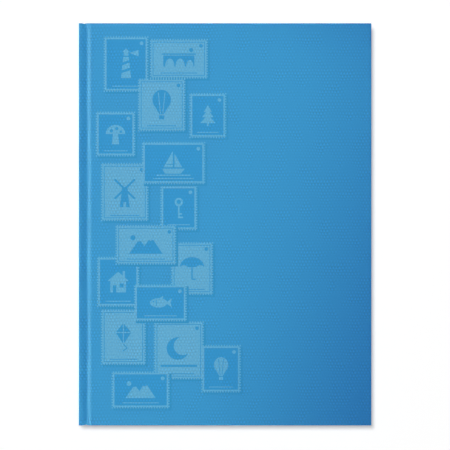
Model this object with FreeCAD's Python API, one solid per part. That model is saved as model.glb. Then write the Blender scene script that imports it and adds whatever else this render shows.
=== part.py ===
"""Hardback stamp album (stock book): a case of paper over board, and hinged card leaves with pocket strips.

The album lies closed on its back cover. X runs from the spine to the fore edge, Y from the tail to the head,
Z up. The origin is the middle of the face that it lies on. All sizes are millimetres.
"""

import FreeCAD
import Part
import math
import os

Vector = FreeCAD.Vector

# Case
ALBUM_WIDTH = 222.0
ALBUM_HEIGHT = 305.0
BOARD_THICKNESS = 2.0
SPINE_BOARD_THICKNESS = 1.9
COVER_PAPER = 0.25
ENDPAPER = 0.2
TURN_IN = 15.0
ENDPAPER_MARGIN = 4.0
EDGE_ROUNDING = 0.5

# French groove between the spine and a cover board, measured from the outer face of the spine
GROOVE_X = 6.9
BOARD_CORNER_X = 8.7
GROOVE_DEPTH = 1.5
SHOULDER_RUN = 0.75
GROOVE_RADIUS = 1.0
BOARD_CORNER_RADIUS = 2.0
FOLD_CLEARANCE = 0.4

# Binding block
LEAF_COUNT = 8
SPINE_LINING = 0.4
GUARD_WIDTH = 8.0
HINGE_CLEARANCE = 0.15
SQUARE = 4.0  # how far the covers stand past the leaves

# One leaf: card, a linen hinge forked over its inner edge, and pocket strips on both pages
CARD = 0.5
LINEN = 0.2
LINEN_FLAP = 0.12
LINEN_FLAP_WIDTH = 10.0
HINGE_GAP = 4.0
POCKET_FILM = 0.1
POCKET_GAP = 0.12
POCKET_WELD = 2.0
POCKETS_PER_PAGE = 9
POCKET_HEIGHT = 27.0
POCKET_INNER_MARGIN = 2.0
POCKET_OUTER_MARGIN = 5.0
PAGE_END_MARGIN = 6.0

# Glassine sheet between two leaves
INTERLEAF = 0.1
INTERLEAF_INSET = 1.0
SHEET_CLEARANCE = 0.1
COVER_CLEARANCE = 0.3

# Levels that follow from the thicknesses
WRAPPED_BOARD = BOARD_THICKNESS + 2 * COVER_PAPER
COVER_STACK = WRAPPED_BOARD + ENDPAPER
LEAF_THICKNESS = CARD + 2 * (POCKET_GAP + POCKET_FILM)
LEAF_PITCH = LEAF_THICKNESS + INTERLEAF + 2 * SHEET_CLEARANCE
BLOCK_THICKNESS = LEAF_THICKNESS + (LEAF_COUNT - 1) * LEAF_PITCH + 2 * COVER_CLEARANCE
ALBUM_THICKNESS = 2 * COVER_STACK + BLOCK_THICKNESS

# Places along X, and the hinge lines
SPINE_X = -ALBUM_WIDTH / 2
FORE_EDGE_X = ALBUM_WIDTH / 2
HALF_HEIGHT = ALBUM_HEIGHT / 2
SPINE_NOSE_RADIUS = COVER_PAPER + SPINE_BOARD_THICKNESS / 2
SPINE_HINGE_X = SPINE_X + SPINE_NOSE_RADIUS
LINING_X = SPINE_X + COVER_PAPER + SPINE_BOARD_THICKNESS
GUARD_X = LINING_X + SPINE_LINING
LEAF_HINGE_X = GUARD_X + GUARD_WIDTH + HINGE_CLEARANCE + LINEN / 2
CARD_X = LEAF_HINGE_X + HINGE_GAP
LEAF_END_X = FORE_EDGE_X - SQUARE
LEAF_HALF_HEIGHT = HALF_HEIGHT - SQUARE


def leaf_level(number):
    """Height of a leaf's middle plane. Leaf 1 is under the front cover."""
    return ALBUM_THICKNESS - COVER_STACK - COVER_CLEARANCE - LEAF_THICKNESS / 2 - (number - 1) * LEAF_PITCH


def box(low, high):
    """Block between two opposite corners."""
    size = [b - a for a, b in zip(low, high)]
    return Part.makeBox(*size, Vector(*low))


def runs(points):
    """Unit direction of each straight run between points given as (x, z)."""
    found = []
    for (x0, z0), (x1, z1) in zip(points, points[1:]):
        length = math.hypot(x1 - x0, z1 - z0)
        found.append(((x1 - x0) / length, (z1 - z0) / length))
    return found


def shifted(points, radii, shift):
    """The path moved sideways to its right by shift, with each corner's radius changed to stay concentric."""
    ways = runs(points)
    first, last = ways[0], ways[-1]
    moved = [(points[0][0] + first[1] * shift, points[0][1] - first[0] * shift)]
    new_radii = []
    for (x, z), radius, a, b in zip(points[1:-1], radii, ways, ways[1:]):
        share = shift / (1 + a[0] * b[0] + a[1] * b[1])
        moved.append((x + (a[1] + b[1]) * share, z - (a[0] + b[0]) * share))
        turns_left = a[0] * b[1] - a[1] * b[0] > 0
        new_radii.append(radius + shift if turns_left else radius - shift)
    moved.append((points[-1][0] + last[1] * shift, points[-1][1] - last[0] * shift))
    return moved, new_radii


def rounded_edges(points, radii):
    """Lines and tangent arcs along the points, in the XZ plane."""

    def place(p, way, distance):
        return Vector(p[0] + way[0] * distance, 0, p[1] + way[1] * distance)

    ways = runs(points)
    edges = []
    start = Vector(points[0][0], 0, points[0][1])
    for p, radius, a, b in zip(points[1:-1], radii, ways, ways[1:]):
        turn = math.acos(max(-1.0, min(1.0, a[0] * b[0] + a[1] * b[1])))
        reach = radius * math.tan(turn / 2)
        inward = (b[0] - a[0], b[1] - a[1])
        inward_length = math.hypot(*inward)
        middle = place(p, inward, (radius / math.cos(turn / 2) - radius) / inward_length)
        arc_start, arc_end = place(p, a, -reach), place(p, b, reach)
        edges.append(Part.LineSegment(start, arc_start).toShape())
        edges.append(Part.Arc(arc_start, middle, arc_end).toShape())
        start = arc_end
    edges.append(Part.LineSegment(start, Vector(points[-1][0], 0, points[-1][1])).toShape())
    return edges


def sheet_section(points, radii, thickness):
    """Section of a sheet whose outer side follows the points and whose thickness lies to their right."""
    inner_points, inner_radii = shifted(points, radii, thickness)
    outer = rounded_edges(points, radii)
    inner = rounded_edges(inner_points, inner_radii)
    ends = [
        Part.makeLine(Vector(p[0], 0, p[1]), Vector(q[0], 0, q[1]))
        for p, q in ((points[0], inner_points[0]), (points[-1], inner_points[-1]))
    ]
    return Part.Face(Part.Wire(Part.__sortEdges__(outer + inner + ends)))


def section_face(points):
    """Face inside straight lines through points given as (x, z)."""
    corners = [Vector(x, 0, z) for x, z in points]
    return Part.Face(Part.makePolygon(corners + corners[:1]))


def along_y(face, low, high):
    """Solid of a section in the XZ plane between two places along Y."""
    solid = face.extrude(Vector(0, high - low, 0))
    solid.translate(Vector(0, low, 0))
    return solid


def turned_over(shape):
    """The same piece of the other cover: mirrored about the middle of the album's thickness."""
    return shape.mirror(Vector(0, 0, ALBUM_THICKNESS / 2), Vector(0, 0, 1))


# Front cover. The back cover is its mirror image.
TOP = ALBUM_THICKNESS
BOARD_TOP = TOP - COVER_PAPER
BOARD_BOTTOM = BOARD_TOP - BOARD_THICKNESS
TURN_IN_LEVEL = TOP - WRAPPED_BOARD
GROOVE_WALL_TURN = math.atan2(GROOVE_DEPTH, BOARD_CORNER_X - GROOVE_X)
BOARD_CORNER_CENTRE_X = SPINE_X + BOARD_CORNER_X + BOARD_CORNER_RADIUS * math.tan(GROOVE_WALL_TURN / 2)
BOARD_EDGE_ROUNDING = BOARD_CORNER_RADIUS - COVER_PAPER
BOARD_X = BOARD_CORNER_CENTRE_X - BOARD_EDGE_ROUNDING
# The groove paper starts far enough from the fold line to pass the spine when the cover lies open.
GROOVE_START_X = SPINE_HINGE_X + SPINE_NOSE_RADIUS + FOLD_CLEARANCE


def groove_path(end_x):
    """Outer side of the cover paper from the spine's nose, down through the groove and onto the board."""
    shoulder_x = GROOVE_START_X + SHOULDER_RUN
    shoulder_turn = math.atan2(GROOVE_DEPTH, SPINE_X + GROOVE_X - shoulder_x)
    shoulder_radius = 0.9 * SHOULDER_RUN / math.tan(shoulder_turn / 2)
    points = [
        (GROOVE_START_X, TOP),
        (shoulder_x, TOP),
        (SPINE_X + GROOVE_X, TOP - GROOVE_DEPTH),
        (SPINE_X + BOARD_CORNER_X, TOP),
        (end_x, TOP),
    ]
    return points, [shoulder_radius, GROOVE_RADIUS, BOARD_CORNER_RADIUS]


def front_board():
    """Greyboard with its groove edge rounded."""
    block = box(
        (BOARD_X, -HALF_HEIGHT + COVER_PAPER, BOARD_BOTTOM),
        (FORE_EDGE_X - COVER_PAPER, HALF_HEIGHT - COVER_PAPER, BOARD_TOP),
    )
    groove_edge = [
        e for e in block.Edges
        if abs(e.CenterOfMass.x - BOARD_X) < 1e-6 and abs(e.CenterOfMass.z - BOARD_TOP) < 1e-6
    ]
    return block.makeFillet(BOARD_EDGE_ROUNDING, groove_edge)


def wrapped_outline():
    """The covered board's outside, from where the groove's rounding ends, with its outer edges eased."""
    block = box((BOARD_CORNER_CENTRE_X, -HALF_HEIGHT, TURN_IN_LEVEL), (FORE_EDGE_X, HALF_HEIGHT, TOP))
    eased = [e for e in block.Edges if e.CenterOfMass.x > BOARD_CORNER_CENTRE_X + EDGE_ROUNDING]
    return block.makeFillet(EDGE_ROUNDING, eased)


def front_cover_paper():
    """Printed paper glued over the board and turned in on three sides, with its free strip in the groove."""
    inside_turn_ins = box(
        (BOARD_X, -HALF_HEIGHT + TURN_IN, TURN_IN_LEVEL - COVER_PAPER),
        (FORE_EDGE_X - TURN_IN, HALF_HEIGHT - TURN_IN, BOARD_BOTTOM),
    )
    over_board = wrapped_outline().cut(front_board()).cut(inside_turn_ins)

    corner_end_x = BOARD_CORNER_CENTRE_X + EDGE_ROUNDING
    points, radii = groove_path(corner_end_x)
    groove_strip = along_y(sheet_section(points, radii, COVER_PAPER), -HALF_HEIGHT, HALF_HEIGHT)

    folded_section = sheet_section(points, radii, 2 * COVER_PAPER)
    free_of_board = box(
        (SPINE_X, -HALF_HEIGHT, TURN_IN_LEVEL),
        (BOARD_X - COVER_PAPER, HALF_HEIGHT, TOP),
    )
    in_strip = TOP - COVER_PAPER / 2
    corner_end = section_face([
        (BOARD_X, TURN_IN_LEVEL),
        (BOARD_X, BOARD_TOP - BOARD_EDGE_ROUNDING),
        (BOARD_CORNER_CENTRE_X, in_strip),
        (corner_end_x, in_strip),
        (corner_end_x, TURN_IN_LEVEL),
    ])
    paper = over_board.fuse(groove_strip)
    for low, high in ((-HALF_HEIGHT, -HALF_HEIGHT + TURN_IN), (HALF_HEIGHT - TURN_IN, HALF_HEIGHT)):
        paper = paper.fuse(along_y(folded_section, low, high).common(free_of_board))
    for low, high in ((-HALF_HEIGHT, -HALF_HEIGHT + COVER_PAPER), (HALF_HEIGHT - COVER_PAPER, HALF_HEIGHT)):
        paper = paper.fuse(along_y(corner_end, low, high))
    return paper.removeSplitter()


def front_endpaper():
    """White sheet pasted inside the cover: its rim lies on the turn-ins and its field dips to the board."""
    rim_low = TURN_IN_LEVEL - ENDPAPER
    field_low = BOARD_BOTTOM - ENDPAPER
    sheet_x = BOARD_X + ENDPAPER
    rim_end = FORE_EDGE_X - ENDPAPER_MARGIN
    rim_half = HALF_HEIGHT - ENDPAPER_MARGIN
    field_end = FORE_EDGE_X - TURN_IN
    field_half = HALF_HEIGHT - TURN_IN
    rim = box((sheet_x, -rim_half, rim_low), (rim_end, rim_half, TURN_IN_LEVEL))
    field = box((sheet_x, -field_half, rim_low), (field_end, field_half, BOARD_BOTTOM))
    hollow = box(
        (sheet_x, -field_half + ENDPAPER, rim_low),
        (field_end - ENDPAPER, field_half - ENDPAPER, field_low),
    )
    return rim.fuse(field).cut(hollow).removeSplitter()


# Spine: board, paper, lining and the guards that the leaves hang from
def round_shouldered_wall(radius, half_span):
    """Upright wall along Y: its two outer edges are round about the case's hinge lines, its inner ones square."""
    low, high = SPINE_NOSE_RADIUS, ALBUM_THICKNESS - SPINE_NOSE_RADIUS
    wall = box(
        (SPINE_HINGE_X, -half_span, low - radius),
        (SPINE_HINGE_X + radius, half_span, high + radius),
    )
    wall = wall.fuse(box((SPINE_HINGE_X - radius, -half_span, low), (SPINE_HINGE_X, half_span, high)))
    for level in (low, high):
        start = Vector(SPINE_HINGE_X, -half_span, level)
        wall = wall.fuse(Part.makeCylinder(radius, 2 * half_span, start, Vector(0, 1, 0)))
    return wall.removeSplitter()


def spine_board():
    """Stiff strip that keeps the spine square."""
    return round_shouldered_wall(SPINE_BOARD_THICKNESS / 2, HALF_HEIGHT - COVER_PAPER)


def spine_cover_paper():
    """The cover paper over the outside, the two shoulders and the ends of the spine board."""
    outside = round_shouldered_wall(SPINE_NOSE_RADIUS, HALF_HEIGHT)
    inner_face = box((LINING_X, -HALF_HEIGHT, 0), (LINING_X + COVER_PAPER, HALF_HEIGHT, ALBUM_THICKNESS))
    paper = outside.cut(spine_board()).cut(inner_face)
    return paper.removeSplitter()


def spine_lining():
    """Cloth glued between the spine board and the guards."""
    return box(
        (LINING_X, -LEAF_HALF_HEIGHT, COVER_STACK),
        (GUARD_X, LEAF_HALF_HEIGHT, ALBUM_THICKNESS - COVER_STACK),
    )


def binding_guards():
    """Stack of card strips, one for each leaf, glued up into the binding."""
    guards = []
    for number in range(1, LEAF_COUNT + 1):
        level = leaf_level(number)
        guards.append(box(
            (GUARD_X, -LEAF_HALF_HEIGHT, level - LEAF_PITCH / 2),
            (GUARD_X + GUARD_WIDTH, LEAF_HALF_HEIGHT, level + LEAF_PITCH / 2),
        ))
    return Part.makeCompound(guards)


# Leaves and interleaves
def leaf_card(level):
    """White card of one leaf."""
    return box(
        (CARD_X, -LEAF_HALF_HEIGHT, level - CARD / 2),
        (LEAF_END_X, LEAF_HALF_HEIGHT, level + CARD / 2),
    )


def linen_hinge(level):
    """Linen strip that folds at the guards and forks over the inner edge of the card."""
    web = LINEN / 2
    fork = CARD / 2 + LINEN_FLAP
    spread = fork - web
    flap_end = CARD_X + LINEN_FLAP_WIDTH
    upper = [
        (LEAF_HINGE_X, web),
        (CARD_X - 2 * spread, web),
        (CARD_X - spread, fork),
        (flap_end, fork),
        (flap_end, CARD / 2),
        (CARD_X, CARD / 2),
    ]
    lower = [(x, -z) for x, z in reversed(upper)]
    corners = [Vector(x, 0, level + z) for x, z in upper + lower]
    sides = [Part.makeLine(a, b) for a, b in zip(corners, corners[1:])]
    nose = Part.Arc(corners[-1], Vector(LEAF_HINGE_X - web, 0, level), corners[0]).toShape()
    return along_y(Part.Face(Part.Wire(sides + [nose])), -LEAF_HALF_HEIGHT, LEAF_HALF_HEIGHT)


def pocket_strip(low_y):
    """Clear strip on a page at level 0: welded along its lower edge and both ends, open towards the head."""
    start_x = CARD_X + LINEN_FLAP_WIDTH + POCKET_INNER_MARGIN
    end_x = LEAF_END_X - POCKET_OUTER_MARGIN
    high_y = low_y + POCKET_HEIGHT
    strip = box((start_x, low_y, 0), (end_x, high_y, POCKET_GAP + POCKET_FILM))
    inside = box((start_x + POCKET_WELD, low_y + POCKET_WELD, 0), (end_x - POCKET_WELD, high_y, POCKET_GAP))
    return strip.cut(inside)


def page_pockets():
    """The pocket strips of one page at level 0, spread evenly from tail to head."""
    row_pitch = (2 * LEAF_HALF_HEIGHT - 2 * PAGE_END_MARGIN) / POCKETS_PER_PAGE
    first_y = -LEAF_HALF_HEIGHT + PAGE_END_MARGIN
    return Part.makeCompound([pocket_strip(first_y + row * row_pitch) for row in range(POCKETS_PER_PAGE)])


def front_page_pockets(level):
    """Pocket strips on the upper side of a leaf."""
    pockets = page_pockets()
    pockets.translate(Vector(0, 0, level + CARD / 2))
    return pockets


def back_page_pockets(level):
    """Pocket strips on the under side of a leaf."""
    pockets = page_pockets().mirror(Vector(0, 0, 0), Vector(0, 0, 1))
    pockets.translate(Vector(0, 0, level - CARD / 2))
    return pockets


def interleaf(level):
    """Glassine sheet with a round fold where it is bound in."""
    half = LEAF_HALF_HEIGHT - INTERLEAF_INSET
    sheet = box(
        (LEAF_HINGE_X, -half, level - INTERLEAF / 2),
        (LEAF_END_X - INTERLEAF_INSET, half, level + INTERLEAF / 2),
    )
    fold = Part.makeCylinder(INTERLEAF / 2, 2 * half, Vector(LEAF_HINGE_X, -half, level), Vector(0, 1, 0))
    return sheet.fuse(fold).removeSplitter()


def album():
    """Every piece by name."""
    pieces = {
        "front_board": front_board(),
        "front_cover_paper": front_cover_paper(),
        "front_endpaper": front_endpaper(),
        "spine_board": spine_board(),
        "spine_cover_paper": spine_cover_paper(),
        "spine_lining": spine_lining(),
        "binding_guards": binding_guards(),
    }
    for name in ("board", "cover_paper", "endpaper"):
        pieces["back_" + name] = turned_over(pieces["front_" + name])
    for number in range(1, LEAF_COUNT + 1):
        level = leaf_level(number)
        pieces[f"leaf_{number}_card"] = leaf_card(level)
        pieces[f"leaf_{number}_linen_hinge"] = linen_hinge(level)
        pieces[f"leaf_{number}_front_pockets"] = front_page_pockets(level)
        pieces[f"leaf_{number}_back_pockets"] = back_page_pockets(level)
    for number in range(1, LEAF_COUNT):
        pieces[f"interleaf_{number}"] = interleaf(leaf_level(number) - LEAF_PITCH / 2)
    return pieces


os.makedirs("parts", exist_ok=True)
for piece_name, piece in album().items():
    piece.exportStep(f"parts/{piece_name}.step")
print(f"album {ALBUM_WIDTH:g} x {ALBUM_HEIGHT:g} x {ALBUM_THICKNESS:.3f} mm")
print(f"case hinges x {SPINE_HINGE_X:.3f}, z {SPINE_NOSE_RADIUS:.3f} and {ALBUM_THICKNESS - SPINE_NOSE_RADIUS:.3f}")
print(f"leaf hinges x {LEAF_HINGE_X:.3f}, first z {leaf_level(1):.3f}, pitch {LEAF_PITCH:.3f}")
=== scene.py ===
"""Looks of a hardback stamp album: blue laminated case, tone-on-tone print, card leaves with clear pockets.

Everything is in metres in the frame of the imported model. The album lies on its back cover, with the spine
at -X, the head at +Y, and +Z up.
"""

import math
import bmesh
import bpy
from mathutils import Matrix, Vector


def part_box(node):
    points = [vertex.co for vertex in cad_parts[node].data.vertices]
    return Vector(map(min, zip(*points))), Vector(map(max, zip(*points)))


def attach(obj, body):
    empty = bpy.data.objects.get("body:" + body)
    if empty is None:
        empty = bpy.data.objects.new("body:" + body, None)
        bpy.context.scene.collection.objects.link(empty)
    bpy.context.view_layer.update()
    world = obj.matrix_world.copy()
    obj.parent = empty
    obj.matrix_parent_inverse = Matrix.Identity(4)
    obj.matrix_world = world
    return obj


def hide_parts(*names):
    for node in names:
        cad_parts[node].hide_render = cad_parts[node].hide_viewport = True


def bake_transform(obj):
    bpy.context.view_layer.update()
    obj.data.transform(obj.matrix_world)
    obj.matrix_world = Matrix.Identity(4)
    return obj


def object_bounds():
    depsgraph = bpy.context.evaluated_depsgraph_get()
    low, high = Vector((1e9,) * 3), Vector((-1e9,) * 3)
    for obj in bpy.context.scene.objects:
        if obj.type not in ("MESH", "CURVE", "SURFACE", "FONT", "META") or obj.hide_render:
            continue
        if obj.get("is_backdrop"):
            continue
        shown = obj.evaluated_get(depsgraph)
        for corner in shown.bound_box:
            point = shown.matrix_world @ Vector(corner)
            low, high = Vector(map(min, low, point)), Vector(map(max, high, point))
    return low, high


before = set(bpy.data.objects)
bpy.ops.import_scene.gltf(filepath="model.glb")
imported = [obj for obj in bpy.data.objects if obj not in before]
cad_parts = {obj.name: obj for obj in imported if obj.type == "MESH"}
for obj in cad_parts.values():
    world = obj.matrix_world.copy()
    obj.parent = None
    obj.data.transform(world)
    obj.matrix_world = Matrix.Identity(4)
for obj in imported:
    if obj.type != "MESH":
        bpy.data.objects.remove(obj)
cad_low, cad_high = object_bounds()
MM = 0.001

# Boards: grey board cut from pressed waste paper, one in each cover and a strip in the spine.
# The cover paper hides them, so they show only as a grey core if the paper is lifted.
GREYBOARD_FLECK = 1.5 * MM


def linear(code):
    """Linear colour of an sRGB hex code such as "4499cc"."""
    shares = [int(code[i:i + 2], 16) / 255 for i in (0, 2, 4)]
    return tuple(c / 12.92 if c <= 0.04045 else ((c + 0.055) / 1.055) ** 2.4 for c in shares) + (1.0,)


def add(owner, kind, inputs, **settings):
    """Adds a shader node to a material or world; an input is a value, or another node's output to link."""
    tree = owner.node_tree
    node = tree.nodes.new("ShaderNode" + kind)
    for name, value in settings.items():
        setattr(node, name, value)
    for name, value in inputs.items():
        if isinstance(value, bpy.types.NodeSocket):
            tree.links.new(value, node.inputs[name])
        else:
            node.inputs[name].default_value = value
    return node


def new_material(name, roughness):
    """A material with only a Principled shader, and that shader."""
    material = bpy.data.materials.new(name)
    material.use_nodes = True
    shader = material.node_tree.nodes["Principled BSDF"]
    shader.inputs["Roughness"].default_value = roughness
    return material, shader


def position(material):
    """The place on the piece, in metres."""
    return add(material, "TexCoord", {}).outputs["Object"]


def noise(material, spot, detail):
    """Cloudy pattern whose spots are about this large."""
    inputs = {"Vector": position(material), "Scale": 1 / spot, "Detail": detail}
    return add(material, "TexNoise", inputs).outputs["Fac"]


def tint(material, share, first, second):
    """Colour between two hex codes. The Mix node numbers its share 0 and its two colours 6 and 7."""
    colours = {0: share, 6: linear(first), 7: linear(second)}
    return add(material, "Mix", colours, data_type="RGBA").outputs[2]


def connect(owner, output, shader, name):
    """Links an output to one of a shader's inputs."""
    owner.node_tree.links.new(output, shader.inputs[name])


def dress(node, material):
    """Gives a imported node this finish."""
    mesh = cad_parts[node].data
    mesh.materials.clear()
    mesh.materials.append(material)


# Pressed fibre: matte, mottled by flecks of old print.
greyboard, shader = new_material("pressed_greyboard", 0.9)
flecks = noise(greyboard, GREYBOARD_FLECK, 4.0)
connect(greyboard, tint(greyboard, flecks, "8b847a", "a39c91"), shader, "Base Color")
for node in ("front_board", "back_board", "spine_board"):
    dress(node, greyboard)

# Case paper: printed, laminated and linen-embossed paper, cut as one sheet for both covers and the spine.
# It is glued over the boards, turned in over their edges, and pressed down into the grooves beside the spine.
# Each half runs from the middle of the spine round one cover.
PAPER = 0.2 * MM
BOARD_WRAP = 2.5 * MM
SPINE_WRAP = 2.2 * MM
TURN_IN = 15 * MM
FOLD_STEP = 0.45 * MM
CAP_DROP = 0.28 * MM
EDGE_ROUNDING = 0.5 * MM
SPINE_EDGE = 0.8 * MM
# The section across the joint: places from the spine's outer face and from the top, and how softly each bends
SHOULDER = Vector((2.3 * MM, -0.1 * MM))
SHOULDER_ROUNDING = 0.9 * MM
GROOVE = Vector((6.6 * MM, -0.85 * MM))
GROOVE_ROUNDING = 0.95 * MM
BOARD_CORNER = Vector((9.2 * MM, 0.0))
BOARD_CORNER_ROUNDING = 1.1 * MM
LEAD_IN = (10.5 * MM, 12 * MM, 14 * MM)
# Both ends of the paper are drawn in at the joint, and at the head it leans over the groove as a soft hood.
GROOVE_DRAW = 0.5 * MM
DRAWN_BAND = 2 * MM
JOINT_MIDDLE = 5.3 * MM
JOINT_REACH = 1.6 * MM
HOOD_LENGTH = 10 * MM
HOOD_ROWS = (2 * MM, 4 * MM, 6 * MM, 8 * MM, 10 * MM)
HOOD_SHIFT = 2.0 * MM
# The embossed grain
GRAIN = 2.34 * MM
GRAIN_PATCH = 9 * MM
GRAIN_SLIP = 8.0
GRAIN_WORN = 0.3
GRAIN_WHOLE = 0.7
EMBOSS = 0.03 * MM
# How much paler each raised dot is painted, as a painted highlight
DOT_HIGHLIGHT = 0.08
X, Y, Z = range(3)
CLOSE = 0.001 * MM
CRISP = math.radians(35)
spine_x = cad_low.x
fore_x = cad_high.x
head_y = cad_high.y
top_z = cad_high.z
under_z = top_z - BOARD_WRAP
board_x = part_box("front_board")[0].x


def only(kind, geometry):
    """The vertices or edges in what an operator made."""
    return [item for item in geometry if isinstance(item, kind)]


def lies_at(edge, axis, level):
    """Whether an edge lies at this level of an axis."""
    return all(abs(v.co[axis] - level) < CLOSE for v in edge.verts)


def long_edges(bm, x, z):
    """Edges that run from tail to head at this place of the section."""
    return [e for e in bm.edges if lies_at(e, X, x) and lies_at(e, Z, z)]


def round_off(bm, edges, offset, segments):
    """Rounds edges by a bevel that starts this far from them."""
    bmesh.ops.bevel(
        bm,
        geom=edges,
        offset=offset,
        offset_type="OFFSET",
        affect="EDGES",
        segments=segments,
        profile=0.5,
        material=-1,
        clamp_overlap=True,
    )


def extrude(bm, edges, step):
    """Carries edges on by one step and returns the new edges and vertices."""
    made = bmesh.ops.extrude_edge_only(bm, edges=edges)["geom"]
    new_verts = only(bmesh.types.BMVert, made)
    bmesh.ops.translate(bm, vec=step, verts=new_verts)
    new_edges = [e for e in only(bmesh.types.BMEdge, made) if all(v in new_verts for v in e.verts)]
    return new_edges, new_verts


def lay_sheet(bm):
    """The paper from the middle of the spine to the turn-in at the fore edge, with its bends rounded."""
    width = fore_x - spine_x
    section = [(0.0, -top_z / 2), (0.0, 0.0), tuple(SHOULDER), tuple(GROOVE), tuple(BOARD_CORNER)]
    section += [(x, 0.0) for x in LEAD_IN]
    section += [(width, 0.0), (width, -BOARD_WRAP), (width - TURN_IN, -BOARD_WRAP)]
    points = [bm.verts.new((spine_x + x, head_y, top_z + z)) for x, z in section]
    line = [bm.edges.new(pair) for pair in zip(points, points[1:])]
    extrude(bm, line, (0, -2 * head_y, 0))
    round_off(bm, long_edges(bm, spine_x, top_z), SPINE_EDGE, 8)
    bends = ((SHOULDER, SHOULDER_ROUNDING), (GROOVE, GROOVE_ROUNDING), (BOARD_CORNER, BOARD_CORNER_ROUNDING))
    for bend, rounding in bends:
        round_off(bm, long_edges(bm, spine_x + bend.x, top_z + bend.y), rounding, 8)


def turn_in(bm, side):
    """Turns one end of the paper in: round the board, back on itself at the joint, and over the spine."""
    end_y = side * head_y
    bm.normal_update()
    ends = [e for e in bm.edges if lies_at(e, Y, end_y)]
    above = [e for e in ends if all(v.co.z > under_z + CLOSE for v in e.verts)]
    over_board = [e for e in above if any(v.co.x > board_x for v in e.verts)]
    on_spine = [e for e in ends if all(v.co.x < spine_x + SPINE_EDGE + CLOSE for v in e.verts)]
    at_joint = [e for e in ends if all(v.co.x <= board_x for v in e.verts) and e not in on_spine]
    inward = {tuple(v.co): -v.normal for e in at_joint for v in e.verts}

    # Both turn-ins are cut off slantwise at the corner of the board.
    for v in bm.verts:
        if abs(v.co.x - fore_x + TURN_IN) < CLOSE and abs(v.co.y - end_y) < CLOSE:
            v.co.y -= side * TURN_IN
    lower, lower_verts = extrude(bm, over_board, (0, 0, 0))
    for v in lower_verts:
        v.co.z = under_z
    turned_verts = extrude(bm, lower, (0, -side * TURN_IN, 0))[1]
    for v in turned_verts:
        if abs(v.co.x - fore_x) < CLOSE:
            v.co.x -= TURN_IN

    folded, folded_verts = extrude(bm, at_joint, (0, 0, 0))
    for v in folded_verts:
        v.co += inward[tuple(v.co)] * FOLD_STEP
    extrude(bm, folded, (0, -side * TURN_IN, 0))
    capped, capped_verts = extrude(bm, on_spine, (0, 0, 0))
    for v in capped_verts:
        v.co.x = spine_x + SPINE_WRAP
        v.co.z = min(v.co.z, top_z - CAP_DROP)
    extrude(bm, capped, (0, -side * TURN_IN, 0))


def round_rims(bm):
    """Rounds the paper where it runs over the edges of the board."""
    rims = long_edges(bm, fore_x, top_z) + long_edges(bm, fore_x, under_z)
    for e in bm.edges:
        at_end = lies_at(e, Y, -head_y) or lies_at(e, Y, head_y)
        level = lies_at(e, Z, top_z) or lies_at(e, Z, under_z)
        upright = lies_at(e, X, fore_x)
        past_joint = all(v.co.x > spine_x + LEAD_IN[0] - CLOSE for v in e.verts)
        if at_end and (level or upright) and past_joint:
            rims.append(e)
    round_off(bm, rims, EDGE_ROUNDING, 3)


def draw_in(bm):
    """Draws both ends of the paper in between the spine board and the cover board."""
    for v in bm.verts:
        if abs(v.co.y) > head_y - DRAWN_BAND:
            from_middle = (v.co.x - spine_x - JOINT_MIDDLE) / JOINT_REACH
            v.co.y -= math.copysign(GROOVE_DRAW * math.exp(-from_middle ** 2), v.co.y)


def lean_hood(bm):
    """Leans the paper over the groove near the head."""
    for from_head in HOOD_ROWS:
        everything = bm.verts[:] + bm.edges[:] + bm.faces[:]
        bmesh.ops.bisect_plane(bm, geom=everything, plane_co=(0, head_y - from_head, 0), plane_no=(0, 1, 0))
    for v in bm.verts:
        across = (v.co.x - spine_x - SHOULDER.x) / (BOARD_CORNER.x - SHOULDER.x)
        near_head = (v.co.y - head_y + HOOD_LENGTH) / HOOD_LENGTH
        if 0 < across < 1 and near_head > 0 and v.co.z > under_z:
            v.co.x -= HOOD_SHIFT * math.sin(math.pi * across ** 2) * min(near_head, 1) ** 2


def half_case():
    """The front half of the case paper, still without thickness."""
    bm = bmesh.new()
    lay_sheet(bm)
    for side in (-1, 1):
        turn_in(bm, side)
    bmesh.ops.remove_doubles(bm, verts=bm.verts, dist=CLOSE)
    round_rims(bm)
    draw_in(bm)
    lean_hood(bm)
    return bm


def sheet_piece(name, bm, materials, thickness):
    """A piece of sheet with its thickness on the inner side and its last material at the back."""
    for e in bm.edges:
        e.smooth = len(e.link_faces) == 2 and e.calc_face_angle() < CRISP
    for f in bm.faces:
        f.smooth = True
    mesh = bpy.data.meshes.new(name)
    bm.to_mesh(mesh)
    bm.free()
    for material in materials:
        mesh.materials.append(material)
    piece = bpy.data.objects.new(name, mesh)
    bpy.context.collection.objects.link(piece)
    solid = piece.modifiers.new("thickness", "SOLIDIFY")
    solid.thickness = thickness
    solid.offset = -1
    solid.material_offset = len(materials) - 1
    shade = piece.modifiers.new("flat_faces", "WEIGHTED_NORMAL")
    shade.keep_sharp = True
    return piece


def calculate(owner, operation, *values):
    """Result of a sum on numbers and on outputs of other nodes."""
    return add(owner, "Math", dict(enumerate(values)), operation=operation).outputs["Value"]


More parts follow.
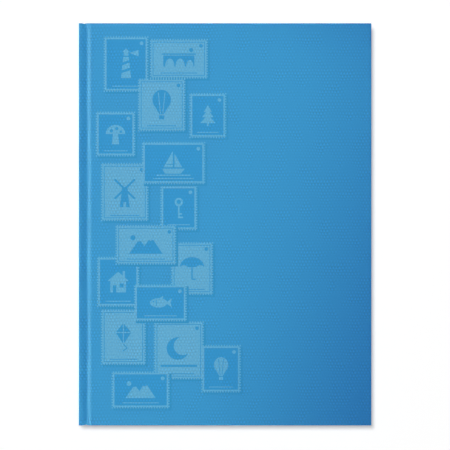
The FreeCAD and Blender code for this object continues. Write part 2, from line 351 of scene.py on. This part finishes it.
def laminated(name, code, mottle, spot):
    """Printed paper under film: a soft shine, an embossed linen grain and a faintly uneven tint."""
    # The grain is a staggered lattice of raised dots, each painted a little paler than the paper round it as
    # a painted highlight.
    # Real linen grain can be finer. It is drawn at a spacing that still shows.
    turn = math.tau / GRAIN
    material, shader = new_material(name, 0.55)
    place = position(material)
    worn = noise(material, GRAIN_PATCH, 2.0)
    patch = add(material, "MapRange", {"Value": worn, "From Min": GRAIN_WORN, "From Max": GRAIN_WHOLE})
    slip = calculate(material, "MULTIPLY", worn, GRAIN_SLIP)
    height = 0.0
    for wave in ((0, turn, 0), (turn, turn / 2, turn), (turn, -turn / 2, turn)):
        along = add(material, "VectorMath", {0: place, 1: wave}, operation="DOT_PRODUCT").outputs["Value"]
        ridge = calculate(material, "SINE", calculate(material, "ADD", along, slip))
        height = calculate(material, "SUBTRACT", height, ridge)
    dots = calculate(material, "MULTIPLY", height, patch.outputs["Result"])
    bump = add(material, "Bump", {"Height": dots, "Strength": 1.0, "Distance": EMBOSS})
    connect(material, bump.outputs["Normal"], shader, "Normal")
    ink = tint(material, noise(material, spot, 3.0), code, mottle)
    # Painted highlight: each raised dot is painted paler, the more so where the grain is whole.
    highlight_gain = calculate(material, "MULTIPLY_ADD", dots, DOT_HIGHLIGHT, 1.0)
    highlighted_ink = add(material, "HueSaturation", {"Color": ink, "Value": highlight_gain})
    connect(material, highlighted_ink.outputs["Color"], shader, "Base Color")
    shader.inputs["Specular IOR Level"].default_value = 0.3
    shader.inputs["Coat Weight"].default_value = 0.3
    shader.inputs["Coat Roughness"].default_value = 0.15
    return material


cover_blue = laminated("laminated_paper_blue", "2a97dd", "2c99dd", 2.5 * MM)
# The unprinted back of the paper: plain and pale, seen only inside the open joints.
paper_back, shader = new_material("unprinted_paper_back", 0.9)
shader.inputs["Base Color"].default_value = linear("d6d9de")
front_wrap = sheet_piece("front_wrap", half_case(), (cover_blue, paper_back), PAPER)
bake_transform(front_wrap)
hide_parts("front_cover_paper", "spine_cover_paper")

back_half = half_case()
bmesh.ops.scale(back_half, vec=(1, 1, -1), verts=back_half.verts)
bmesh.ops.translate(back_half, vec=(0, 0, top_z), verts=back_half.verts)
bmesh.ops.reverse_faces(back_half, faces=back_half.faces)
back_wrap = sheet_piece("back_wrap", back_half, (cover_blue, paper_back), PAPER)
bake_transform(back_wrap)
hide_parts("back_cover_paper")

# Cover print: a tone-on-tone pattern of made-up postage stamps, printed on the front half of the paper.
# Each stamp is a perforated sheet with a frame, a window and a plain picture, pale on blue or blue on pale.
# The inks are flat pieces about a hundredth of a millimetre thick, and a stamp on others sits a step higher.
INK_STEP = 0.01 * MM
LAYERS = 6
SHADE_DROP = 0.6 * INK_STEP
SHAPE_STEP = 0.2 * INK_STEP
SHADE_OFFSET = 1.5 * MM
PERFORATION = 1.0 * MM
RIM = 2.2 * MM
FRAME_LINE = 0.5 * MM
CAPTION_SHARE = 0.7
CAPTION_LINE = 0.6 * MM
CAPTION_RISE = 2 * MM
MARK_RADIUS = 1.4 * MM
MARK_INSET = 3 * MM
PICTURE_MARGIN = 3 * MM
OVAL_SIDES = 24


def rectangle(bm, x, y, width, height, z):
    """A plain block of ink about a centre."""
    place = Matrix.Translation((x, y, z)) @ Matrix.Diagonal((width, height, 1, 1))
    bmesh.ops.create_grid(bm, x_segments=1, y_segments=1, size=0.5, matrix=place)


def perforated(bm, x, y, columns, rows, z):
    """A sheet of ink whose rim has lost every second cell, as a torn perforation has."""
    place = Matrix.Translation((x, y, z)) @ Matrix.Diagonal((columns / 2, rows / 2, 1, 1))
    made = bmesh.ops.create_grid(bm, x_segments=columns, y_segments=rows, size=PERFORATION, matrix=place)
    cells = list(dict.fromkeys(cell for corner in made["verts"] for cell in corner.link_faces))
    gone = []
    for cell in cells:
        centre = cell.calc_center_median()
        column = round((centre.x - x) / PERFORATION + (columns - 1) / 2)
        row = round((centre.y - y) / PERFORATION + (rows - 1) / 2)
        on_rim = column in (0, columns - 1) or row in (0, rows - 1)
        if on_rim and (column + row) % 2:
            gone.append(cell)
    kept = [cell for cell in cells if cell not in gone]
    bmesh.ops.delete(bm, geom=gone, context="FACES")
    bmesh.ops.dissolve_faces(bm, faces=kept)


def outline(bm, place, *points):
    """A straight-sided shape through a few points."""
    bm.faces.new([bm.verts.new(place @ Vector((x, y, 0))) for x, y in points])


def bar(bm, place, x0, y0, x1, y1, width):
    """A straight bar between two ends."""
    run = Vector((x1 - x0, y1 - y0))
    middle = Matrix.Translation(((x0 + x1) / 2, (y0 + y1) / 2, 0))
    turned = Matrix.Rotation(math.atan2(run.y, run.x), 4, "Z")
    stretched = Matrix.Diagonal((run.length, width, 1, 1))
    whole = place @ middle @ turned @ stretched
    bmesh.ops.create_grid(bm, x_segments=1, y_segments=1, size=0.5, matrix=whole)


def oval(bm, place, x, y, rx, ry, sides=OVAL_SIDES):
    """An oval about its centre; returns its vertices."""
    whole = place @ Matrix.Translation((x, y, 0)) @ Matrix.Diagonal((rx, ry, 1, 1))
    return bmesh.ops.create_circle(bm, cap_ends=True, segments=sides, radius=1, matrix=whole)["verts"]


def arch(bm, place, x, y, rx, ry):
    """The upper half of an oval."""
    whole = oval(bm, place, x, y, rx, ry, 2 * OVAL_SIDES)[0].link_faces[0]
    parts = whole.verts[:] + whole.edges[:] + [whole]
    middle = place @ Vector((x, y, 0))
    bmesh.ops.bisect_plane(bm, geom=parts, plane_co=middle, plane_no=(0, 1, 0), clear_inner=True)


# Each picture is in units of half its window: the shapes in ink, then the shapes left bare inside them.
PICTURES = {
    "balloon": (
        [
            (oval, 0, 0.3, 0.55, 0.6),
            (outline, (-0.45, 0.0), (0.45, 0.0), (0.13, -0.55), (-0.13, -0.55)),
            (bar, 0, -0.62, 0, -0.85, 0.3),
        ],
        [
            (bar, -0.2, 0.75, -0.07, -0.5, 0.05),
            (bar, 0.2, 0.75, 0.07, -0.5, 0.05),
        ],
    ),
    "bridge": (
        [
            (outline, (-1.2, -0.6), (1.2, -0.6), (1.2, 0.25), (-1.2, 0.25)),
            (bar, -1.3, 0.36, 1.3, 0.36, 0.1),
            (oval, 0.95, 0.68, 0.16, 0.16),
        ],
        [
            (arch, -0.7, -0.6, 0.36, 0.62),
            (arch, 0.1, -0.6, 0.36, 0.62),
            (arch, 0.85, -0.6, 0.28, 0.5),
        ],
    ),
    "lighthouse": (
        [
            (outline, (-0.32, -0.9), (0.32, -0.9), (0.18, 0.45), (-0.18, 0.45)),
            (bar, 0, 0.52, 0, 0.78, 0.3),
            (outline, (-0.24, 0.78), (0.24, 0.78), (0, 1.0)),
            (outline, (0.2, 0.72), (0.8, 0.9), (0.8, 0.5)),
        ],
        [
            (bar, -0.3, -0.5, 0.3, -0.3, 0.16),
            (bar, -0.26, 0.0, 0.26, 0.2, 0.16),
        ],
    ),
    "mushroom": (
        [
            (arch, 0, 0.0, 0.75, 0.7),
            (outline, (-0.2, 0.0), (0.2, 0.0), (0.28, -0.8), (-0.28, -0.8)),
        ],
        [
            (oval, -0.32, 0.25, 0.13, 0.13),
            (oval, 0.1, 0.42, 0.12, 0.12),
            (oval, 0.42, 0.18, 0.1, 0.1),
        ],
    ),
    "boat": (
        [
            (outline, (-0.8, -0.4), (0.8, -0.4), (0.5, -0.75), (-0.6, -0.75)),
            (outline, (-0.05, -0.3), (-0.05, 0.85), (-0.7, -0.3)),
            (outline, (0.07, -0.3), (0.07, 0.65), (0.6, -0.3)),
            (bar, -1.2, -0.86, 1.2, -0.86, 0.07),
        ],
        [
            (bar, -0.5, -0.1, -0.05, -0.1, 0.05),
        ],
    ),
    "pine": (
        [
            (outline, (-0.35, 0.3), (0.35, 0.3), (0, 0.9)),
            (outline, (-0.5, -0.15), (0.5, -0.15), (0, 0.5)),
            (outline, (-0.65, -0.65), (0.65, -0.65), (0, 0.1)),
            (bar, 0, -0.65, 0, -0.9, 0.16),
        ],
        [],
    ),
    "key": (
        [
            (oval, 0, 0.5, 0.36, 0.36),
            (bar, 0, 0.2, 0, -0.9, 0.14),
            (bar, 0, -0.82, 0.36, -0.82, 0.14),
            (bar, 0, -0.52, 0.28, -0.52, 0.12),
        ],
        [
            (oval, 0, 0.52, 0.18, 0.18),
        ],
    ),
    "mountains": (
        [
            (outline, (-1.3, -0.7), (-0.5, 0.45), (-0.1, -0.1), (0.4, 0.65), (1.3, -0.7)),
            (oval, -1.0, 0.55, 0.2, 0.2),
        ],
        [
            (outline, (0.4, 0.65), (0.22, 0.38), (0.38, 0.3), (0.56, 0.4)),
            (outline, (-0.5, 0.45), (-0.64, 0.25), (-0.38, 0.28)),
        ],
    ),
    "windmill": (
        [
            (outline, (-0.3, -0.9), (0.3, -0.9), (0.16, 0.1), (-0.16, 0.1)),
            (arch, 0, 0.12, 0.18, 0.18),
            (bar, -0.6, -0.4, 0.6, 0.75, 0.12),
            (bar, -0.6, 0.75, 0.6, -0.4, 0.12),
        ],
        [
            (bar, 0, -0.9, 0, -0.6, 0.16),
        ],
    ),
    "house": (
        [
            (outline, (-0.55, -0.75), (0.55, -0.75), (0.55, 0.05), (-0.55, 0.05)),
            (outline, (-0.75, 0.05), (0.75, 0.05), (0, 0.7)),
            (bar, 0.4, 0.3, 0.4, 0.75, 0.16),
        ],
        [
            (bar, -0.25, -0.75, -0.25, -0.25, 0.24),
            (bar, 0.25, -0.4, 0.25, -0.12, 0.28),
        ],
    ),
    "fish": (
        [
            (oval, -0.15, 0, 0.75, 0.4),
            (outline, (0.45, 0.0), (1.0, 0.4), (0.88, 0.0), (1.0, -0.4)),
            (outline, (-0.2, 0.35), (0.25, 0.6), (0.2, 0.3)),
        ],
        [
            (oval, -0.6, 0.1, 0.07, 0.07),
            (bar, -0.35, -0.25, -0.35, 0.25, 0.06),
        ],
    ),
    "kite": (
        [
            (outline, (0, 0.9), (0.5, 0.3), (0, -0.45), (-0.5, 0.3)),
            (bar, 0, -0.45, 0.25, -0.7, 0.06),
            (bar, 0.25, -0.7, -0.05, -0.9, 0.06),
        ],
        [
            (bar, 0, 0.9, 0, -0.45, 0.06),
            (bar, -0.5, 0.3, 0.5, 0.3, 0.06),
        ],
    ),
    "moon": (
        [
            (oval, -0.05, 0.1, 0.62, 0.62),
            (bar, -1.0, -0.85, 1.0, -0.85, 0.12),
        ],
        [
            (oval, 0.22, 0.24, 0.5, 0.5),
        ],
    ),
    "umbrella": (
        [
            (arch, 0, 0.1, 0.85, 0.7),
            (bar, 0, 0.1, 0, -0.75, 0.09),
            (bar, 0, -0.75, 0.25, -0.75, 0.09),
        ],
        [
            (arch, -0.57, 0.1, 0.25, 0.13),
            (arch, 0.57, 0.1, 0.25, 0.13),
        ],
    ),
}

# Where each stamp lies: millimetres from the spine and down from the head, its size, step, field and picture.
STAMPS = [
    (36, 31, 34, 42, 0, "dark", "lighthouse"),
    (76, 27, 44, 30, 0, "pale", "bridge"),
    (63, 62, 36, 40, 1, "pale", "balloon"),
    (28, 84, 30, 34, 0, "dark", "mushroom"),
    (98, 70, 28, 34, 0, "dark", "pine"),
    (72, 106, 48, 32, 2, "dark", "boat"),
    (35, 128, 36, 44, 1, "pale", "windmill"),
    (76, 140, 28, 34, 0, "dark", "key"),
    (51, 168, 46, 30, 2, "pale", "mountains"),
    (30, 196, 32, 38, 0, "dark", "house"),
    (86, 186, 32, 40, 1, "pale", "umbrella"),
    (62, 212, 40, 28, 2, "dark", "fish"),
    (34, 238, 34, 42, 1, "pale", "kite"),
    (76, 248, 38, 44, 0, "pale", "moon"),
    (47, 278, 44, 28, 2, "dark", "mountains"),
    (108, 262, 30, 36, 1, "dark", "balloon"),
]
shade_bm = bmesh.new()
pale_bm = bmesh.new()
dark_bm = bmesh.new()
for from_spine, from_head, width, height, step, field, picture in STAMPS:
    x = spine_x + from_spine * MM
    y = head_y - from_head * MM
    z = top_z + INK_STEP * (1 + step * LAYERS)
    picture_z = z + 3 * INK_STEP
    paper_bm, ink_bm = (dark_bm, pale_bm) if field == "dark" else (pale_bm, dark_bm)
    rectangle(shade_bm, x + SHADE_OFFSET, y - SHADE_OFFSET, width * MM, height * MM, z - SHADE_DROP)
    perforated(pale_bm, x, y, width, height, z)
    wide = width * MM - 2 * RIM
    high = height * MM - 2 * RIM
    rectangle(dark_bm, x, y, wide, high, z + INK_STEP)
    rectangle(paper_bm, x, y, wide - 2 * FRAME_LINE, high - 2 * FRAME_LINE, z + 2 * INK_STEP)
    rectangle(ink_bm, x, y - high / 2 + CAPTION_RISE, wide * CAPTION_SHARE, CAPTION_LINE, picture_z)
    corner = Matrix.Translation((x + wide / 2 - MARK_INSET, y + high / 2 - MARK_INSET, picture_z))
    oval(ink_bm, corner, 0, 0, MARK_RADIUS, MARK_RADIUS)
    unit = min(wide, high) / 2 - PICTURE_MARGIN
    shapes, bare = PICTURES[picture]
    for count, (draw, *sizes) in enumerate(shapes + bare):
        middle = Matrix.Translation((x, y, picture_z + count * SHAPE_STEP))
        shape_bm = ink_bm if count < len(shapes) else paper_bm
        draw(shape_bm, middle @ Matrix.Diagonal((unit, unit, 1, 1)), *sizes)

# Pale ink thinned unevenly over the blue, so its tint is a little mottled; the blues are even.
pale_ink = laminated("laminated_paper_pale_ink", "6cbbe7", "329cdd", 1.2 * MM)
dark_ink = laminated("laminated_paper_blue_ink", "2397de", "2093dc", 2.5 * MM)
shade_ink = laminated("laminated_paper_shade_ink", "2091d6", "2293d8", 2.5 * MM)
prints = (
    ("cover_print_shade", shade_bm, shade_ink),
    ("cover_print_pale", pale_bm, pale_ink),
    ("cover_print_blue", dark_bm, dark_ink),
)
case_pieces = [front_wrap, back_wrap]
for name, bm, ink in prints:
    bm.normal_update()
    bmesh.ops.reverse_faces(bm, faces=[f for f in bm.faces if f.normal.z < 0])
    print_piece = sheet_piece(name, bm, (ink,), INK_STEP / 2)
    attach(print_piece, "front_cover")
    case_pieces.append(print_piece)

# Endpapers: plain white paper, pasted over the turn-ins on the inside of both covers.
# They stop four millimetres short of the cover's edges and leave a blue border of case paper.


def paper(name, light, shade, fibre, depth):
    """Uncoated paper or card: matte, with a faint cloudy tone and fibres that catch the light."""
    material, shader = new_material(name, 0.85)
    cloud = noise(material, fibre, 6.0)
    connect(material, tint(material, cloud, light, shade), shader, "Base Color")
    bump = add(material, "Bump", {"Height": cloud, "Strength": 0.3, "Distance": depth})
    connect(material, bump.outputs["Normal"], shader, "Normal")
    shader.inputs["Specular IOR Level"].default_value = 0.2
    return material


endpaper_white = paper("uncoated_white_paper", "f3f1ea", "e9e6dd", 3 * MM, 0.03 * MM)
dress("front_endpaper", endpaper_white)
dress("back_endpaper", endpaper_white)

# Spine lining: a strip of thin white cloth glued to the inside of the spine board.
# The card guards of the book block are glued to it.
WAVE_LENGTH = math.tau / 20  # of a wave texture at scale 1
WEAVE = 0.8 * MM
WEAVE_DEPTH = 0.05 * MM


def woven(name, light, shade):
    """Plain-woven cloth: soft and matte, with a grid of threads that shows as a fine check, painted darker in
    the gaps between threads as painted shade.
    """
    # Real threads are a third of a millimetre; they are drawn coarser so that the weave can be seen.
    material, shader = new_material(name, 0.9)
    place = position(material)
    threads = []
    for axis in ("X", "Y", "Z"):
        inputs = {"Vector": place, "Scale": WAVE_LENGTH / WEAVE, "Distortion": 0.0}
        threads.append(add(material, "TexWave", inputs, bands_direction=axis).outputs["Fac"])
    check = calculate(material, "MAXIMUM", threads[0], threads[1])
    check = calculate(material, "MULTIPLY", check, threads[2])
    # Painted shade: the low gaps between the threads take the darker colour.
    connect(material, tint(material, check, shade, light), shader, "Base Color")
    bump = add(material, "Bump", {"Height": check, "Strength": 0.5, "Distance": WEAVE_DEPTH})
    connect(material, bump.outputs["Normal"], shader, "Normal")
    shader.inputs["Specular IOR Level"].default_value = 0.1
    return material


dress("spine_lining", woven("white_lining_cloth", "efece3", "d9d5c9"))

# Guards: a stack of card strips, one for each leaf, glued into a block that fills the back of the book.
# The linen hinges of the leaves are held between them.
dress("binding_guards", paper("white_guard_card", "efede5", "dfdcd1", 2 * MM, 0.04 * MM))

# Leaves: stiff white card with a linen hinge forked over the inner edge, and clear strips welded on.
# Both pages of each leaf carry nine strips, which are open-topped pockets for the stamps.
page_white = paper("white_page_card", "f6f5f0", "f1efe9", 3 * MM, 0.01 * MM)
hinge_linen = woven("white_hinge_linen", "f0ede4", "d6d2c6")
# Clear film: nearly invisible from the front, with a sharp shine that shows the strips.
pocket_film, shader = new_material("clear_pocket_film", 0.12)
shader.inputs["Base Color"].default_value = linear("f4f8fa")
shader.inputs["Alpha"].default_value = 0.22
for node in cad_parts:
    if node.startswith("leaf_"):
        if node.endswith("_card"):
            dress(node, page_white)
        elif node.endswith("_linen_hinge"):
            dress(node, hinge_linen)
        else:
            dress(node, pocket_film)

# Interleaves: thin translucent paper between the leaves, which keeps stamps from catching on each other.
# Each is held by its edge at the guards, like a leaf.

# Glassine: smooth, faintly warm, and cloudy enough that the page behind is dimmed.
glassine, shader = new_material("glassine_paper", 0.35)
shader.inputs["Base Color"].default_value = linear("f1efe6")
shader.inputs["Alpha"].default_value = 0.55
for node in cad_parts:
    if node.startswith("interleaf_"):
        dress(node, glassine)

# Surroundings: a plain pale table under a white studio, with soft light from the upper left.
# Each light falls on the case, the table or the inside alone, so that each of them has its own brightness.
FLOOR = 20.0
FLOOR_DROP = 0.1 * MM
TABLE_GLOW = 0.37
GLOW_START = 0.35
GLOW_FULL = 1.2
AMBIENT = 0.16
SHEEN = 0.4
WHITE = (1.0, 1.0, 1.0, 1.0)
floor_bm = bmesh.new()
bmesh.ops.create_grid(floor_bm, x_segments=1, y_segments=1, size=FLOOR / 2)
bmesh.ops.translate(floor_bm, vec=(0, 0, -FLOOR_DROP), verts=floor_bm.verts)
floor_mesh = bpy.data.meshes.new("table")
floor_bm.to_mesh(floor_mesh)
floor_bm.free()
table = bpy.data.objects.new("table", floor_mesh)
bpy.context.collection.objects.link(table)
# Plain white board, bright enough to run into the white background; the shadow stays on it.
table_white, shader = new_material("white_table", 0.9)
shader.inputs["Base Color"].default_value = linear("f6f6f6")
shader.inputs["Specular IOR Level"].default_value = 0.0
shader.inputs["Emission Color"].default_value = WHITE
path = add(table_white, "LightPath", {})
away = add(table_white, "VectorMath", {0: position(table_white)}, operation="LENGTH").outputs["Value"]
span = {"Value": away, "From Min": GLOW_START, "From Max": GLOW_FULL, "To Min": TABLE_GLOW, "To Max": 1.0}
fade = add(table_white, "MapRange", span).outputs["Result"]
glow = calculate(table_white, "MULTIPLY", path.outputs["Is Camera Ray"], fade)
connect(table_white, glow, shader, "Emission Strength")
table.data.materials.append(table_white)
table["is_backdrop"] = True

# White where the camera looks past the table, softer in the shine of the pieces, and dim as fill light.
world = bpy.data.worlds.new("studio")
world.use_nodes = True
bpy.context.scene.world = world
path = add(world, "LightPath", {})
shine = calculate(world, "MULTIPLY", path.outputs["Is Glossy Ray"], SHEEN)
seen = calculate(world, "MAXIMUM", path.outputs["Is Camera Ray"], shine)
seen = calculate(world, "MAXIMUM", seen, path.outputs["Is Transmission Ray"])
level = add(world, "MapRange", {"Value": seen, "To Min": AMBIENT, "To Max": 1.0}).outputs["Result"]
backdrop = world.node_tree.nodes["Background"]
backdrop.inputs["Color"].default_value = WHITE
connect(world, level, backdrop, "Strength")


def area_light(name, place, target, size, power, code, spread=180):
    """A soft box that looks at a point; a grid on it narrows its spread."""
    lamp = bpy.data.lights.new(name, "AREA")
    lamp.shape = "RECTANGLE"
    lamp.size, lamp.size_y = size
    lamp.energy = power
    lamp.color = linear(code)[:3]
    lamp.spread = math.radians(spread)
    box = bpy.data.objects.new(name, lamp)
    box.location = place
    box.rotation_euler = (Vector(target) - Vector(place)).to_track_quat("-Z", "Y").to_euler()
    bpy.context.collection.objects.link(box)
    box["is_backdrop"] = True
    return box


def limit(light, pieces, state):
    """Lets a light fall only on these pieces, or on all the others."""
    chosen = bpy.data.collections.new("receivers_of_" + light.name)
    for count, piece in enumerate(pieces):
        chosen.objects.link(piece)
        chosen.collection_objects[count].light_linking.link_state = state
    light.light_linking.receiver_collection = chosen


# The case has a narrow warm light from the left, a blue one from above, and a faint one on the groove.
GROOVE_FOOT = (-0.103, -0.13, 0)
KEY_TARGET = (-0.16, -0.022, 0)
MIDDLE = (0, 0, 0)
key = area_light("key", (-0.852, 0.206, 0.528), KEY_TARGET, (0.541, 0.333), 0.8875, "ffdaa6", 9.95)
top = area_light("top", (-1.1, 1.4, 5.0), MIDDLE, (0.8, 0.8), 80.0, "63a9ff")
edge = area_light("edge", (-0.9, -0.23, 0.9), GROOVE_FOOT, (0.1, 0.12), 0.3, "ffffff")
for light in (key, top, edge):
    limit(light, case_pieces, "INCLUDE")
# The table has a wide overhead light, so that only a soft, narrow shadow lies on it.
overhead = area_light("overhead", (-0.8, 1.1, 5.0), MIDDLE, (1.15, 1.15), 150, "ffffff")
limit(overhead, [table], "INCLUDE")
# The white inside has softer lights of its own, so that open pages are neither glaring nor dim.
page_key = area_light("page_key", (-0.9, -0.9, 1.6), MIDDLE, (0.8, 0.8), 21, "fffaf2")
page_top = area_light("page_top", (0.4, 0.5, 3.0), MIDDLE, (1.5, 1.5), 25.5, "f8fbff")
page_fill = area_light("page_fill", (1.5, -1.0, 1.0), MIDDLE, (1.0, 1.0), 10.4, "f8fbff")
page_back = area_light("page_back", (0.9, 1.5, 0.9), MIDDLE, (1.0, 1.0), 5, "f8fbff")
for light in (page_key, page_top, page_fill, page_back):
    limit(light, case_pieces + [table], "EXCLUDE")

# Camera: straight above the album, far enough away that its sides stay hidden behind the front cover.
CAMERA_HEIGHT = 1.6
CAMERA_Y = -0.5 * MM
SENSOR = 36.0
VIEW_WIDTH = 0.3411
lens = bpy.data.cameras.new("camera")
lens.sensor_width = SENSOR
lens.lens = SENSOR * CAMERA_HEIGHT / VIEW_WIDTH
camera = bpy.data.objects.new("camera", lens)
camera.location = (0.0, CAMERA_Y, top_z + CAMERA_HEIGHT)
bpy.context.collection.objects.link(camera)
bpy.context.scene.camera = camera
bpy.context.scene.view_settings.view_transform = "Standard"

low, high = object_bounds()
